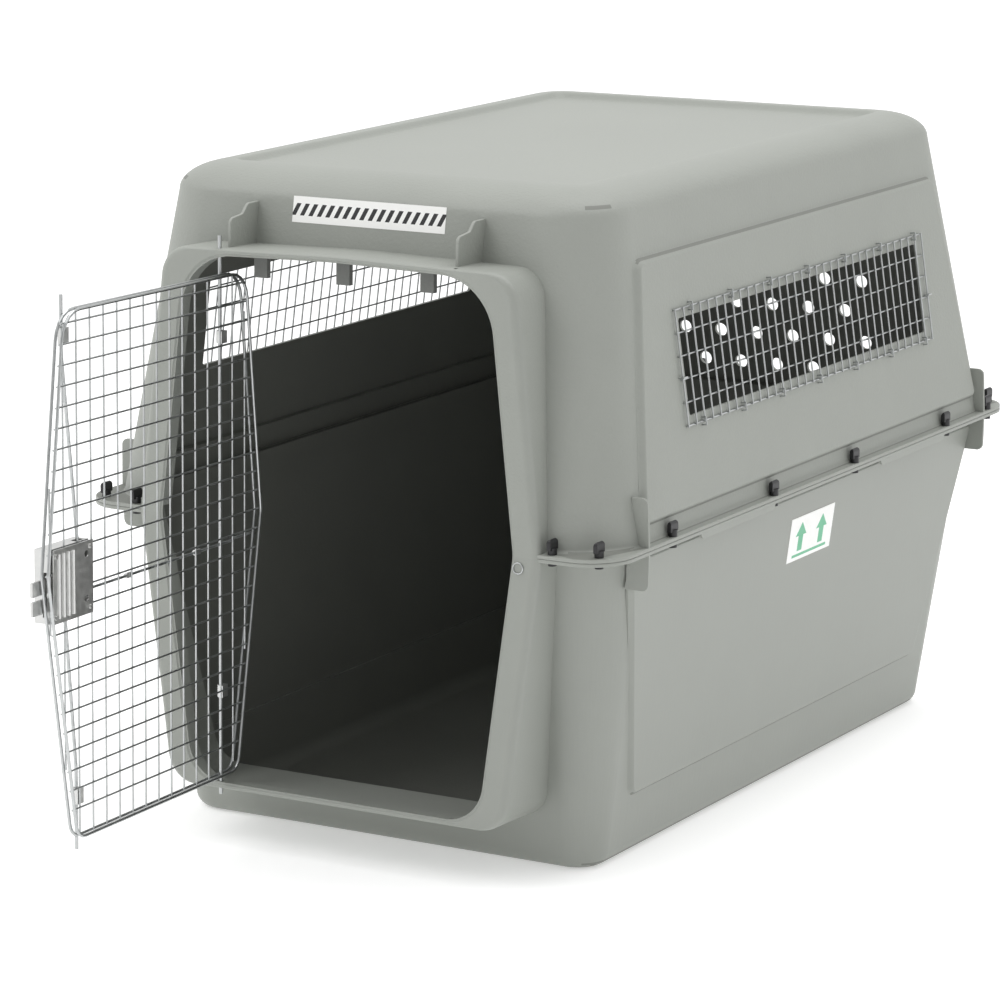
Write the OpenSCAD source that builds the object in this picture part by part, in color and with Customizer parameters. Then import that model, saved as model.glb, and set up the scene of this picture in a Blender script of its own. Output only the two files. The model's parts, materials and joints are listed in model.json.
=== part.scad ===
// Pet transport carrier: two moulded half shells bolted at a flange, a wire door with a
// four-way latch, and a wire-mesh window on each side.
// X is the width, Y the length with the door at -Y, Z up. The origin is on the floor,
// under the middle of the shells.

/* [Shells] */
// Overall width, across the flange
flange_w = 813; // [680:1:980]
// Overall length, along the flange
flange_l = 1219; // [1020:1:1460]
// Height of the rim round the roof
body_h = 884; // [760:1:1060]
// Height of the joint between the two shells
split_z = 438; // [380:1:520]
// Wall thickness of both shells
wall = 4; // [3:0.5:5]
// Thickness of each shell's flange
flange_t = 5; // [4:0.5:7]
// Corner radius of the flange
flange_r = 60; // [40:1:80]
// How far the flange stands out from the top shell's sides
top_ledge_x = 13; // [12:0.5:16]
// How far the flange stands out from the top shell's ends
top_ledge_y = 21; // [16:0.5:26]
// How far the flange stands out from the bottom shell's sides
low_ledge_x = 25.5; // [18:0.5:34]
// How far the flange stands out from the bottom shell's ends
low_ledge_y = 43.5; // [30:0.5:50]
// Depth of the tray moulded into the roof
roof_tray = 8; // [4:0.5:14]

/* [Slopes] */
// Lean of the top shell's sides, in degrees
top_lean_x = 7.9; // [4:0.1:10]
// Lean of the top shell's ends, in degrees
top_lean_y = 10.4; // [6:0.1:13]
// Lean of the bottom shell's sides, in degrees
low_lean_x = 8.4; // [4:0.1:10]
// Lean of the bottom shell's ends, in degrees
low_lean_y = 8.2; // [4:0.1:10]

/* [Doorway] */
// Half width of the doorway at the joint, on a flange as wide as way_flange_w
way_half = 268; // [220:1:290]
// Half width of the doorway at its top, on a flange as wide as way_flange_w
way_top_half = 228; // [180:1:240]
// Half width of the doorway at its bottom, on a flange as wide as way_flange_w
way_low_half = 220; // [170:1:235]
// Height of the doorway above the joint
way_up = 345; // [250:1:350]
// Depth of the doorway below the joint
way_down = 353; // [250:1:356]
// Backward lean of the door frame, in degrees
frame_lean = 2; // [0:0.1:3]
// Distance of the door frame ahead of the flange's front edge, at the joint
frame_ahead = 3.5; // [0:0.5:8]
// Width of the raised frame beside the doorway
post_band = 38; // [30:1:42]
// Height of the lintel and sill edges
lintel_band = 9; // [8:0.5:14]
// Depth of the rim turned in round the doorway
rim_depth = 22.5; // [18:0.5:36]

/* [Door] */
// Angle by which the door stands open
door_angle = 85.5; // [0:0.5:100]
// Gap between the door and the doorway's sides
door_gap = 4.5; // [3:0.5:8]
// Gap between the door and the lintel or the sill
door_end_gap = 22; // [12:0.5:26]
// How much narrower the door is than the doorway at the bottom, each side
door_low_tuck = 14; // [4:0.5:20]
// Diameter of the mesh wires of door and windows
wire_d = 2.4; // [1.8:0.1:3]
// Diameter of the two wires round the door
edge_wire_d = 4.2; // [3:0.1:5]
// Spacing of the door's upright wires
door_pitch_x = 31.75; // [20:0.25:40]
// Spacing of the door's cross wires
door_pitch_z = 25.4; // [20:0.2:40]
// Diameter of the hinge rod
hinge_rod_d = 5; // [4:0.1:6]
// Distance of the hinge rod from the middle of the doorway, on a flange as wide as way_flange_w
hinge_x = 178.5; // [150:0.5:190]

/* [Latch] */
// Diameter of the latch's rods
rod_d = 4.5; // [3.5:0.1:5]
// Distance of the upper latch rod from the middle of the doorway, on a flange as wide as way_flange_w
upper_rod_x = 205; // [190:1:210]
// Distance of the lower latch rod from the middle of the doorway, on a flange as wide as way_flange_w
lower_rod_x = 180; // [160:1:190]
// Travel of the upper and lower latch rods
rod_travel = 12; // [8:0.5:14]
// Width of the latch
latch_w = 90; // [80:1:100]
// Height of the latch
latch_h = 92; // [86:1:110]

/* [Windows] */
// Half length of the window mesh
win_half = 367; // [250:1:380]
// Height of the window mesh's lower edge above the joint
win_low = 134; // [100:1:180]
// Height of the window mesh
win_h = 150; // [90:1:170]
// Number of gaps between the upright window wires
win_gaps_y = 33; // [20:1:40]
// Number of gaps between the long window wires
win_gaps_z = 5; // [3:1:7]
// How far the mesh laps over the edge of the window
win_lap = 12; // [8:1:20]
// Height of the raised panels on the shells' sides
panel_raise = 8; // [5:0.5:10]

/* [Vents] */
// Diameter of the vent holes in the rear wall
vent_d = 20; // [10:1:25]
// Spacing of the vent holes in a row
vent_pitch = 61; // [50:1:70]
// Spacing of the rows of vent holes
vent_row = 47.5; // [35:0.5:55]

/* [Hidden] */

eps = 0.05;                                  // gap between pieces that only touch
grey = "#9c9f99";
wire_grey = "#b9bcbc";
$fn = 32;
arc_n = 8;                                   // steps in each lofted or swept corner

// Half sizes of the shells where they meet the flange
top_hx = flange_w / 2 - top_ledge_x;
top_hy = flange_l / 2 - top_ledge_y;
low_hx = flange_w / 2 - low_ledge_x;
low_hy = flange_l / 2 - low_ledge_y;
way_flange_w = 813;                          // flange that the doorway's widths are given for
side_more = (flange_w - way_flange_w) / 2;   // how far the doorway's sides follow the flange's
way_hw = way_half + side_more;               // half widths of the doorway
way_top_hw = way_top_half + side_more;
way_low_hw = way_low_half + side_more;
hinge_at = hinge_x + side_more;              // places of the door's rods, from the middle
upper_rod_at = upper_rod_x + side_more;
lower_rod_at = lower_rod_x + side_more;
top_r = 102;                                 // corner radius at the flange
roof_r = 84;                                 // corner radius under the roof edge
low_r = 92;                                  // bottom shell, at the flange
base_r = 46;                                 // bottom shell, at the floor
roof_round_x = 66;                           // width of the roof edge's rounding, sides
roof_round_y = 80;                           // the same, ends
roof_round_z = 37;                           // its height
base_round = 22;                             // rounding round the floor
roof_slope = 6;                              // run of the tray's sloping side

// Door frame: distances in its own plane, measured from the joint
frame_y = -flange_l / 2 - frame_ahead;
way_r = 80;                                  // doorway's top corners
way_low_r = 55;                              // doorway's bottom corners
band_r = 42;                                 // corners of the raised frame
crown = 5;                                   // rise of the lintel's middle
rim_t = wall;

// Door, in depth behind the frame's front plane
rod_y = 6.6;                                 // hinge and latch rods
mesh_y = rod_y + hinge_rod_d / 2 + edge_wire_d + wire_d + 3 * eps;
edge_y = wire_d + edge_wire_d / 2 + 2 * eps; // each edge wire's distance from the mesh
stop_gap = 0.6;                              // door stops' clearance behind door and rim
stop_y = max(mesh_y + edge_y + edge_wire_d / 2, rim_depth) + stop_gap;
door_up = way_up - door_end_gap;
door_down = way_down - door_end_gap / 2;
door_r = 40;                                 // door's top corners
door_low_r = 22;                             // door's bottom corners
latch_z1 = 32;                               // latch's upper end
latch_z0 = latch_z1 - latch_h;
latch_x1 = door_half(latch_z0) - edge_wire_d / 2 - 1;   // latch's outer end
latch_x0 = latch_x1 - latch_w;
cover_t = 1.5;
cover_y = -8;                                // front face of the latch's cover
bolt_travel = 15;
bolt_reach = 14;                             // side bolts past the door's edge
tab_x = latch_x0 + 34;                       // middle of the two finger tabs
tab_out = 9;                                 // how far the tabs stand out of the cover
slide_y = 2.5;                               // front face of the slides behind the cover
web_z = -rod_travel - 3;                     // web between the two slides
slide_h = 16;
low_top = 2 * web_z;                         // lower slide's upper face, the upper one's is at 0
tab_h = 7;
cross_z = low_top - 2;                       // height of the cross rod
spring_turns = 4;
spring_r = 3.2;
spring_d = 0.9;

// ---------- outlines and solids shared by several pieces ----------

function unit(v) = v / norm(v);
function turn(a) = a > 180 ? a - 360 : a < -180 ? a + 360 : a;

// The arc, of n steps and radius r, that rounds vertex p between its neighbours a and b
function fillet(a, p, b, r, n) =
    r == 0 ? [p] :
    let (u = unit(a - p), w = unit(b - p), half = acos(u * w) / 2,
         c = p + unit(u + w) * r / sin(half), s = p + u * r / tan(half) - c,
         e = p + w * r / tan(half) - c, a0 = atan2(s.y, s.x), d = turn(atan2(e.y, e.x) - a0))
    [for (i = [0:n]) c + r * [cos(a0 + d * i / n), sin(a0 + d * i / n)]];

// A closed outline with a fillet at each vertex
function rounded(p, r, n = arc_n) =
    let (m = len(p))
    [for (i = [0:m - 1]) each fillet(p[(i + m - 1) % m], p[i], p[(i + 1) % m], r[i], n)];

function rect(hx, hy) = [[hx, hy], [-hx, hy], [-hx, -hy], [hx, -hy]];
function round_rect(hx, hy, r) = rounded(rect(hx, hy), [r, r, r, r]);

// The doorway's outline, grown by g at the sides and e at the top and bottom
function doorway(g, e, top = way_r, low = way_low_r) = rounded(
    [[way_hw + g, 0], [way_top_hw + g, way_up + e], [0, way_up + e + crown],
     [-way_top_hw - g, way_up + e], [-way_hw - g, 0],
     [-way_low_hw - g, -way_down - e], [way_low_hw + g, -way_down - e]],
    [0, top, 900, top, 0, low, low]);
function band(g, e) = doorway(g, e, band_r, band_r);

// The middle line of the door's edge wires, inset by d from the door's outside
function door_line(d) = rounded(
    [[way_hw - door_gap - d, 0], [way_top_hw - door_gap - d, door_up - d],
     [-way_top_hw + door_gap + d, door_up - d], [-way_hw + door_gap + d, 0],
     [-way_low_hw + door_gap + door_low_tuck + d, -door_down + d],
     [way_low_hw - door_gap - door_low_tuck - d, -door_down + d]],
    [40, door_r, door_r, 40, door_low_r, door_low_r], 5);

// Half width of the door at height z
function door_half(z) = way_hw - door_gap - edge_wire_d / 2
    - (z > 0 ? (way_hw - way_top_hw) * z / door_up
             : (way_hw - way_low_hw + door_low_tuck) * -z / door_down);
// A solid between rounded rectangles given as [z, half x, half y, corner radius]
module loft(levels) {
    rings = [for (l = levels) [for (p = round_rect(l[1], l[2], l[3])) [p.x, p.y, l[0]]]];
    m = len(rings[0]);
    k = len(rings);
    polyhedron([for (r = rings) each r],
        concat([[for (i = [0:m - 1]) i]], [[for (i = [m - 1:-1:0]) (k - 1) * m + i]],
            [for (j = [0:k - 2]) for (i = [0:m - 1])
                [j * m + i, (j + 1) * m + i, (j + 1) * m + (i + 1) % m]],
            [for (j = [0:k - 2]) for (i = [0:m - 1])
                [j * m + i, (j + 1) * m + (i + 1) % m, j * m + (i + 1) % m]]));
}

// A round wire swept along points, closed into a loop or with flat ends
module sweep(p, d, loop = false, sides = 8) {
    m = len(p);
    function at(i) = p[loop ? (i + m) % m : min(max(i, 0), m - 1)];
    function side(i) = unit(cross(at(i + 1) - at(i - 1), [0.001, 1, 0.002]));
    rings = [for (i = [0:m - 1]) let (t = unit(at(i + 1) - at(i - 1)), u = side(i), v = cross(t, u))
        [for (j = [0:sides - 1]) p[i] + d / 2 * (cos(360 * j / sides) * u + sin(360 * j / sides) * v)]];
    last = loop ? m - 1 : m - 2;
    walls = [for (i = [0:last]) for (j = [0:sides - 1])
        let (a = i * sides + j, b = i * sides + (j + 1) % sides,
             c = ((i + 1) % m) * sides + j, e = ((i + 1) % m) * sides + (j + 1) % sides)
        each [[a, b, e], [a, e, c]]];
    caps = loop ? [] : [[for (j = [sides - 1:-1:0]) j], [for (j = [0:sides - 1]) (m - 1) * sides + j]];
    polyhedron([for (r = rings) each r], concat(walls, caps));
}

// A round rod through points, each straight run lapping a little past its bends
bend_lap = 0.4;
module rod(p, d)
    for (i = [0:len(p) - 2]) {
        v = p[i + 1] - p[i];
        before = i > 0 ? bend_lap : 0;
        after = i < len(p) - 2 ? bend_lap : 0;
        translate(p[i])
            rotate([0, acos(v.z / norm(v)), atan2(v.y, v.x)])
                translate([0, 0, -before])
                    cylinder(d = d, h = norm(v) + before + after, $fn = 24);
    }

// Stands children in the door frame's plane: x across, y back from its face, z up from the joint
module in_frame() translate([0, frame_y, split_z]) rotate([-frame_lean, 0, 0]) children();

// Stands children on the door, turned about the hinge rod
module on_door()
    in_frame() translate([-hinge_at, rod_y, 0]) rotate([0, 0, -door_angle])
        translate([hinge_at, -rod_y, 0]) children();

// A slab of an outline in the frame's plane, between two depths
module slab(p, y0, y1) translate([0, y1, 0]) rotate([90, 0, 0]) linear_extrude(y1 - y0) polygon(p);

// Places children on a side wall: x out from it, y along it, z up it from the joint
module on_top_side(s) scale_x(s) translate([top_hx, 0, split_z]) rotate([0, -top_lean_x, 0]) children();
module on_low_side(s) scale_x(s) translate([low_hx, 0, split_z]) rotate([0, low_lean_x, 0]) children();
module scale_x(s) {
    if (s > 0) children();
    else mirror([1, 0, 0]) children();
}

// A plate with outline p along a side wall, from depth x0 to x1
module side_plate(p, x0, x1) translate([x0, 0, 0]) rotate([90, 0, 90]) linear_extrude(x1 - x0) polygon(p);

// ---------- shells ----------

function top_levels(in, roof) =
    let (zt = body_h - roof_round_z, tx = tan(top_lean_x), ty = tan(top_lean_y), h = zt - split_z)
    concat([[split_z, top_hx - in, top_hy - in, top_r - in]],
        [for (i = [0:4]) let (a = 22.5 * i)
            [zt - in + (roof - zt + in) * sin(a),
             top_hx - tx * h - in - (roof_round_x) * (1 - cos(a)),
             top_hy - ty * h - in - (roof_round_y) * (1 - cos(a)),
             max(roof_r - in - roof_round_x * (1 - cos(a)), 18)]]);

function low_levels(in) =
    let (tx = tan(low_lean_x), ty = tan(low_lean_y), h = split_z - base_round)
    concat([for (i = [0:3]) let (a = 30 * i, s = base_round * (1 - sin(a)))
            [in + (base_round) * (1 - cos(a)), low_hx - tx * h - in - s, low_hy - ty * h - in - s,
             base_r - in - s]],
        [[split_z, low_hx - in, low_hy - in, low_r - in]]);

// The raised side panels: [y, z] in each wall's plane
function panel(y0, z0, y1, z1, d) = rounded([[y0 - d, z0 + d], [y1 - d, z1 - d], [d - y1, z1 - d],
    [d - y0, z0 + d]], [8, 12, 12, 8], 3);
function top_panel(d) = panel(top_hy - 90.5, 30, top_hy - 152.5, body_h - split_z - 90, d);
function low_panel(d) = panel(low_hy - 141, 86 - split_z, low_hy - 56, -14, d);

module frame_ring() {
    difference() {
        slab(band(post_band, lintel_band), 0, 190);
        slab(band(post_band - wall, lintel_band - wall), wall, 191);
        slab(doorway(0, 0), -1, wall + 1);
    }
    difference() {
        slab(doorway(rim_t, rim_t), 1, rim_depth);
        slab(doorway(0, 0), 0, rim_depth + 1);
    }
}

// Everything cut from the frame for the rods and bolts of the door
module frame_holes() {
    for (s = [-1, 1]) {
        translate([s * hinge_at, rod_y, -way_down - 40])
            cylinder(d = hinge_rod_d + 0.16, h = way_up + way_down + 80);
        translate([s * upper_rod_at, rod_y, way_up - 60])
            cylinder(d = rod_d + 1, h = 58);
        translate([s * lower_rod_at, rod_y, -way_down - 40])
            cylinder(d = rod_d + 1, h = 80);
        translate([s * (way_hw + 1) - 12, rod_y - rod_d / 2 - 1.3, -57])
            cube([24, s > 0 ? rod_d + 2.6 : rim_depth, 66]);
    }
}

gusset_y = flange_l / 2 - 102.5;
module gusset(z0, z1, x0, x1)
    rotate([90, 0, 0]) translate([0, 0, -2]) linear_extrude(4)
        polygon([[x0, z0], [flange_w / 2, z0], [flange_w / 2 - 2, z1], [x1, z1]]);

module top_shell() color(grey) {
    difference() {
        union() {
            difference() {
                loft(top_levels(0, body_h));
                in_frame() slab(band(post_band - 1, lintel_band - 1), -50, 190);
            }
            translate([0, 0, split_z])
                linear_extrude(flange_t)
                    polygon(round_rect(flange_w / 2, flange_l / 2, flange_r));
            for (s = [-1, 1])
                on_top_side(s) side_plate(top_panel(0), -2, panel_raise);
            intersection() {
                in_frame() frame_ring();
                translate([-flange_w / 2, frame_y - 60, split_z]) cube([flange_w, 400, body_h - split_z]);
            }
            for (s = [-1, 1]) for (y = [-gusset_y, gusset_y])
                translate([0, y, split_z])
                    scale_x(s) gusset(flange_t - 1, 68, top_hx - 8, top_hx - 12);
            // two upright fins on the lintel
            for (s = [-1, 1])
                translate([s * 172 - 2, 0, split_z])
                    rotate([90, 0, 90]) linear_extrude(4)
                        polygon([[frame_y + 32, way_up + 4], [frame_y + 32, way_up + 48],
                                 [frame_y + 92, way_up + 60], [frame_y + 110, way_up + 4]]);
        }
        // hollow
        loft(concat([[split_z - 1, top_hx - wall, top_hy - wall, top_r - wall]],
            top_levels(wall, body_h - roof_tray - wall)));
        // roof tray
        loft([[body_h - roof_tray, roof_x() - roof_slope, roof_y() - roof_slope, 14],
              [body_h + 1, roof_x(), roof_y(), 18]]);
        for (s = [-1, 1]) on_top_side(s) {
            side_plate(top_panel(wall), -30, panel_raise - wall);
            side_plate([for (p = rect(win_half - win_lap, win_h / 2 - win_lap))
                [p.x, p.y + win_low + win_h / 2]], -30, panel_raise + 1);
        }
        in_frame() frame_holes();
        in_frame() slab(doorway(0, 0), -20, 190);
        flange_holes();
        rear_vents();
    }
}

function roof_x() = top_hx - tan(top_lean_x) * (body_h - roof_round_z - split_z) - roof_round_x - 1;
function roof_y() = top_hy - tan(top_lean_y) * (body_h - roof_round_z - split_z) - roof_round_y - 1;

module rear_vents()
    for (row = [0:3]) {
        odd = row % 2;
        for (i = [-3:3 - odd])
            translate([(i + odd / 2) * vent_pitch, top_hy - 120, split_z + 174 - row * vent_row])
                rotate([-90, 0, 0])
                    cylinder(d = vent_d, h = 140);
    }

module bottom_shell() color(grey) {
    difference() {
        union() {
            difference() {
                loft(low_levels(0));
                in_frame() slab(band(post_band - 1, lintel_band - 1), -50, 190);
            }
            translate([0, 0, split_z - flange_t])
                linear_extrude(flange_t)
                    polygon(round_rect(flange_w / 2, flange_l / 2, flange_r));
            for (s = [-1, 1])
                on_low_side(s) side_plate(low_panel(0), -2, panel_raise - 2);
            intersection() {
                in_frame() frame_ring();
                translate([-flange_w / 2, frame_y - 60, 0]) cube([flange_w, 400, split_z]);
            }
            for (s = [-1, 1]) for (y = [-gusset_y, gusset_y])
                translate([0, y, split_z])
                    scale_x(s) gusset(-flange_t + 1, -52, low_hx - 2, low_hx - 10);
            // hand grips turned down from the flange
            for (s = [-1, 1]) for (t = [-1, 1])
                translate([s * (flange_w / 2 - 2) - 2, t * (flange_l / 2 - 344.5) - 105,
                           split_z - flange_t - 7])
                    cube([4, 210, 8]);
        }
        loft(concat(low_levels(wall), [[split_z + 1, low_hx - wall, low_hy - wall, low_r - wall]]));
        for (s = [-1, 1])
            on_low_side(s) side_plate(low_panel(wall), -30, panel_raise - 2 - wall);
        in_frame() frame_holes();
        in_frame() slab(doorway(0, 0), -20, 190);
        flange_holes();
    }
}

// Height of the lintel's underside at x
function lintel_z(x) = way_up + lintel_band - wall + crown * (1 - abs(x) / (way_top_hw + post_band));
module door_stop_tabs() color("#3f4140")
    in_frame()
        for (x = [-126, 0, 126])
            translate([x - 10, stop_y, door_up - 4])
                cube([20, 8, lintel_z(abs(x) + 10) - 0.1 - door_up + 4]);

// ---------- fasteners ----------

side_nuts = [174.5 - flange_l / 2, -153, 90, flange_l / 2 - 222.5, flange_l / 2 - 80.5];
bolt_x = flange_w / 2 - 6.5;
bolt_y = flange_l / 2 - 11;
bolt_places = concat(
    [for (s = [-1, 1]) for (y = side_nuts) [s * bolt_x, y]],
    [for (s = [-1, 1]) for (t = [-1, 1]) [s * (bolt_x - 23), t * (bolt_y - 14)]],
    [for (s = [-1, 1]) for (t = [-1, 1]) [s * (bolt_x - 82), t * bolt_y]],
    [for (s = [-1, 1]) [s * 110, bolt_y]]);
bolt_d = 5;

module flange_holes()
    for (p = bolt_places)
        translate([p.x, p.y, split_z - 20]) cylinder(d = bolt_d + 0.4, h = 40, $fn = 16);

module flange_bolts() color("#1c1d1f")
    for (p = bolt_places)
        translate([p.x, p.y, split_z]) {
            translate([0, 0, -flange_t - eps - 4]) cylinder(d = 11, h = 4, $fn = 20);
            translate([0, 0, -flange_t - 1]) cylinder(d = bolt_d, h = 2 * flange_t + 10, $fn = 16);
        }

module flange_nuts() color("#17181a")
    for (p = bolt_places)
        translate([p.x, p.y, split_z + flange_t + eps]) difference() {
            union() {
                cylinder(d = 12, h = 9, $fn = 24);
                translate([0, 0, 13]) cube([6, 20, 14], center = true);
            }
            translate([0, 0, -1]) cylinder(d = bolt_d + 0.16, h = 13, $fn = 24);
        }

// A ring of seal wire that hangs against the right post, under the joint
module wire_loop() color(wire_grey)
    in_frame() translate([way_hw + 9, -0.9 - eps, -14])
        rotate([90, 0, 0]) rotate_extrude($fn = 32) translate([7, 0]) circle(d = 1.8, $fn = 16);

// ---------- windows ----------

win_skin = panel_raise + eps;
module window_uprights(s) color(wire_grey)
    on_top_side(s)
        for (i = [0:win_gaps_y])
            translate([win_skin + 1.5 * wire_d + eps, -win_half + 2 * win_half * i / win_gaps_y,
                       win_low - 1.5])
                cylinder(d = wire_d, h = win_h + 3, $fn = 16);

module window_bars(s) color(wire_grey)
    on_top_side(s)
        for (i = [0:win_gaps_z])
            translate([win_skin + wire_d / 2, -win_half - 1.5, win_low + win_h * i / win_gaps_z])
                rotate([-90, 0, 0])
                    cylinder(d = wire_d, h = 2 * win_half + 3, $fn = 16);

// Each clip is a small staple over a border wire, its legs on the panel
module clip() {
    x1 = 2.5 * wire_d + 4 * eps + 1;
    rod([[win_skin, 0, -5], [win_skin + x1, 0, -5], [win_skin + x1, 0, 5], [win_skin, 0, 5]], 2);
}
module window_clips(s) color("#55585a")
    on_top_side(s) {
        cell = 2 * win_half / win_gaps_y;
        for (i = [-3:3]) for (z = [win_low, win_low + win_h])
            translate([0, (i * 5 + 0.35) * cell, z]) clip();
        for (t = [-1, 1])
            translate([0, t * win_half, win_low + win_h * 0.42]) rotate([90, 0, 0]) clip();
    }

// ---------- labels ----------

module front_label() color("#f2f2f0")
    translate([0, -top_hy, split_z]) rotate([-top_lean_y, 0, 0])
        translate([-116, -0.5 - eps, way_up + 45]) cube([232, 0.5, 34]);

module side_labels() color("#e9efe9")
    for (s = [-1, 1])
        on_low_side(s)
            translate([panel_raise - 2 + eps, -59, -112]) cube([0.5, 130, 63]);

// ---------- door ----------

module edge_wire(y)
    sweep([for (p = door_line(edge_wire_d / 2)) [p.x, y, p.y]], edge_wire_d, loop = true);
module door_edge_outer() color(wire_grey) on_door() edge_wire(mesh_y - edge_y);
module door_edge_inner() color(wire_grey) on_door() edge_wire(mesh_y + edge_y);

// How far an upright at x reaches: to the top or bottom edge, or to the slanting side
function up_to(x, end_half, r, end) =
    let (full = way_hw - door_gap - edge_wire_d / 2, e = end_half - door_gap - edge_wire_d / 2,
         t = (abs(x) - e + r) / r)
    abs(x) < e - r ? end - edge_wire_d / 2
        : min(end - edge_wire_d / 2 - r * (1 - sqrt(max(1 - t * t, 0.2))),
              end * (full - abs(x)) / (full - e));

module door_uprights() color(wire_grey) on_door()
    for (x = [-6 - floor((door_half(0) - 20) / door_pitch_x) * door_pitch_x : door_pitch_x
              : door_half(0) - 8]) {
        z0 = -up_to(x, way_low_hw - door_low_tuck, door_low_r, door_down);
        z1 = up_to(x, way_top_hw, door_r, door_up);
        translate([x, mesh_y - wire_d / 2 - eps / 2, z0])
            cylinder(d = wire_d, h = z1 - z0, $fn = 16);
    }

module door_bars() color(wire_grey) on_door()
    for (z = [2 - floor((door_down - 20) / door_pitch_z) * door_pitch_z : door_pitch_z : door_up - 12]) {
        h = door_half(z);
        translate([-h, mesh_y + wire_d / 2 + eps / 2, z])
            rotate([0, 90, 0]) cylinder(d = wire_d, h = 2 * h, $fn = 16);
    }

module hinge_rod() color(wire_grey) on_door()
    translate([-hinge_at, rod_y, -way_down - lintel_band - 8])
        cylinder(d = hinge_rod_d, h = way_down + way_up + 2 * lintel_band + 26, $fn = 32);

// A sheet clip that holds a rod, d across, against the mesh
module rod_clip(d, h) difference() {
    union() {
        cylinder(d = d + 4, h = h, center = true);
        translate([-7, 0, -h / 2]) cube([14, mesh_y - wire_d - 3 * eps - rod_y, h]);
    }
    cylinder(d = d + 0.16, h = h + 2, center = true);
}

module hinge_rod_clips() color("#a8abad") on_door()
    for (z = [-230, 240])
        translate([-hinge_at, rod_y, z]) rod_clip(hinge_rod_d, 16);

// ---------- latch ----------

module latch_plate() color("#c9cccf") on_door()
    difference() {
        union() {
            translate([latch_x0, mesh_y + wire_d + 2 * eps, latch_z0]) cube([latch_w, 1.6, latch_h]);
            for (i = [0:3])
                translate([latch_x1 - 12 - 11 * i, mesh_y + wire_d + 1.6, latch_z0 + 6])
                    cylinder(d = 5, h = latch_h - 12, $fn = 20);
        }
        for (z = [latch_z0 + 20, latch_z1 - 16])
            translate([latch_x0 + 15, mesh_y, z]) rotate([-90, 0, 0]) cylinder(d = 9, h = 20);
        translate([latch_x0, mesh_y + wire_d - 4, latch_z0])
            cube([latch_w, 4 + 2 * eps, latch_h]);
    }

module latch_cover() color("#bfc3c6") on_door() {
    translate([tab_x - 6, cover_y + cover_t - 1, web_z - 0.6]) cube([14, rod_y + 3 - cover_y, 1.2]);
    difference() {
        translate([latch_x0, cover_y, latch_z0])
            cube([latch_w, mesh_y - wire_d - 2 * eps - cover_y, latch_h]);
        translate([latch_x0 + cover_t, cover_y + cover_t, latch_z0 + cover_t])
            cube([latch_w - 2 * cover_t, 60, latch_h - 2 * cover_t]);
        // slots for the finger tabs, the rods, the side bolts and the cross rod
        for (z = [low_top - tab_h - 9, 2 - rod_travel - 3])
            translate([tab_x - 10, cover_y - 1, z]) cube([20, 4, rod_travel + tab_h + 10]);
        translate([latch_x0 + 6, rod_y - rod_d, latch_z1 - 3]) cube([18, 2 * rod_d, 6]);
        translate([tab_x - 1, rod_y - rod_d, latch_z0 - 3]) cube([24, 2 * rod_d, 6]);
        translate([latch_x1 - 4, rod_y - 3, -52]) cube([8, 6, 56]);
        translate([latch_x0 - 2, rod_y, cross_z - 4]) cube([6, 20, 8]);
    }
}

module latch_rivets() color("#8d9092") on_door()
    for (x = [latch_x0 + 6, latch_x1 - 5]) for (z = [latch_z0 + 8, latch_z1 - 8])
        translate([x, mesh_y + wire_d + 1.6 + 3 * eps, z]) rotate([-90, 0, 0]) {
            cylinder(d = 6, h = 1.6, $fn = 20);
        }

// Upper slide: a block with a finger tab, and the rod it pushes up into the lintel
module upper_slide() color("#aeb2b5") on_door() {
    translate([latch_x0 + 4, slide_y, 0]) cube([tab_x + 8 - latch_x0 - 4, 6.4, slide_h]);
    translate([tab_x - 8, cover_y - tab_out, 2])
        cube([16, slide_y - cover_y + tab_out + 1, tab_h]);
}
module lower_slide() color("#aeb2b5") on_door() {
    translate([tab_x - 8, slide_y, low_top - slide_h]) cube([28, 6.4, slide_h]);
    translate([tab_x - 8, cover_y - tab_out, low_top - tab_h - 2])
        cube([16, slide_y - cover_y + tab_out + 1, tab_h]);
}
upper_foot = [latch_x0 + 13, rod_y, slide_h + eps];
upper_bend = [upper_rod_at, rod_y, 265];
upper_tip = [upper_rod_at, rod_y, way_up - 5];
lower_head = [tab_x + 12, rod_y, low_top - slide_h - eps];
lower_bend = [lower_rod_at, rod_y, -255];
lower_tip = [lower_rod_at, rod_y, -way_down - 6];
module upper_rod() color(wire_grey) on_door()
    sweep([upper_foot, upper_bend, upper_tip], rod_d, sides = 16);
module lower_rod() color(wire_grey) on_door()
    sweep([lower_head, lower_bend, lower_tip], rod_d, sides = 16);

module rod_guides() color("#a8abad") on_door() {
    translate([upper_rod_at, rod_y, 290]) rod_clip(rod_d, 20);
    translate([lower_rod_at, rod_y, -290]) rod_clip(rod_d, 20);
}

// Two bolts on one carriage, thrown sideways into the slot in the doorway's rim
module side_bolts() color("#b4b8bb") on_door() {
    x0 = latch_x1 - bolt_travel - 5;
    x1 = way_hw - door_gap + bolt_reach;
    translate([x0, rod_y - 1.8, -48]) cube([10, 3.6, 48]);
    for (z = [-46, -22])
        translate([x0 + 5, rod_y - 1.8, z]) cube([x1 - x0 - 5, 3.6, 18]);
}

cross_y = mesh_y - wire_d - 2 - 2 * eps;
module cross_rod() color(wire_grey) on_door()
    sweep([[latch_x0 + 12, cross_y, cross_z], [-hinge_at - 22, cross_y, cross_z],
        [-hinge_at - 32, rod_y, cross_z], [-door_half(cross_z) - bolt_reach, rod_y, cross_z]],
        3.6, sides = 16);

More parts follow.
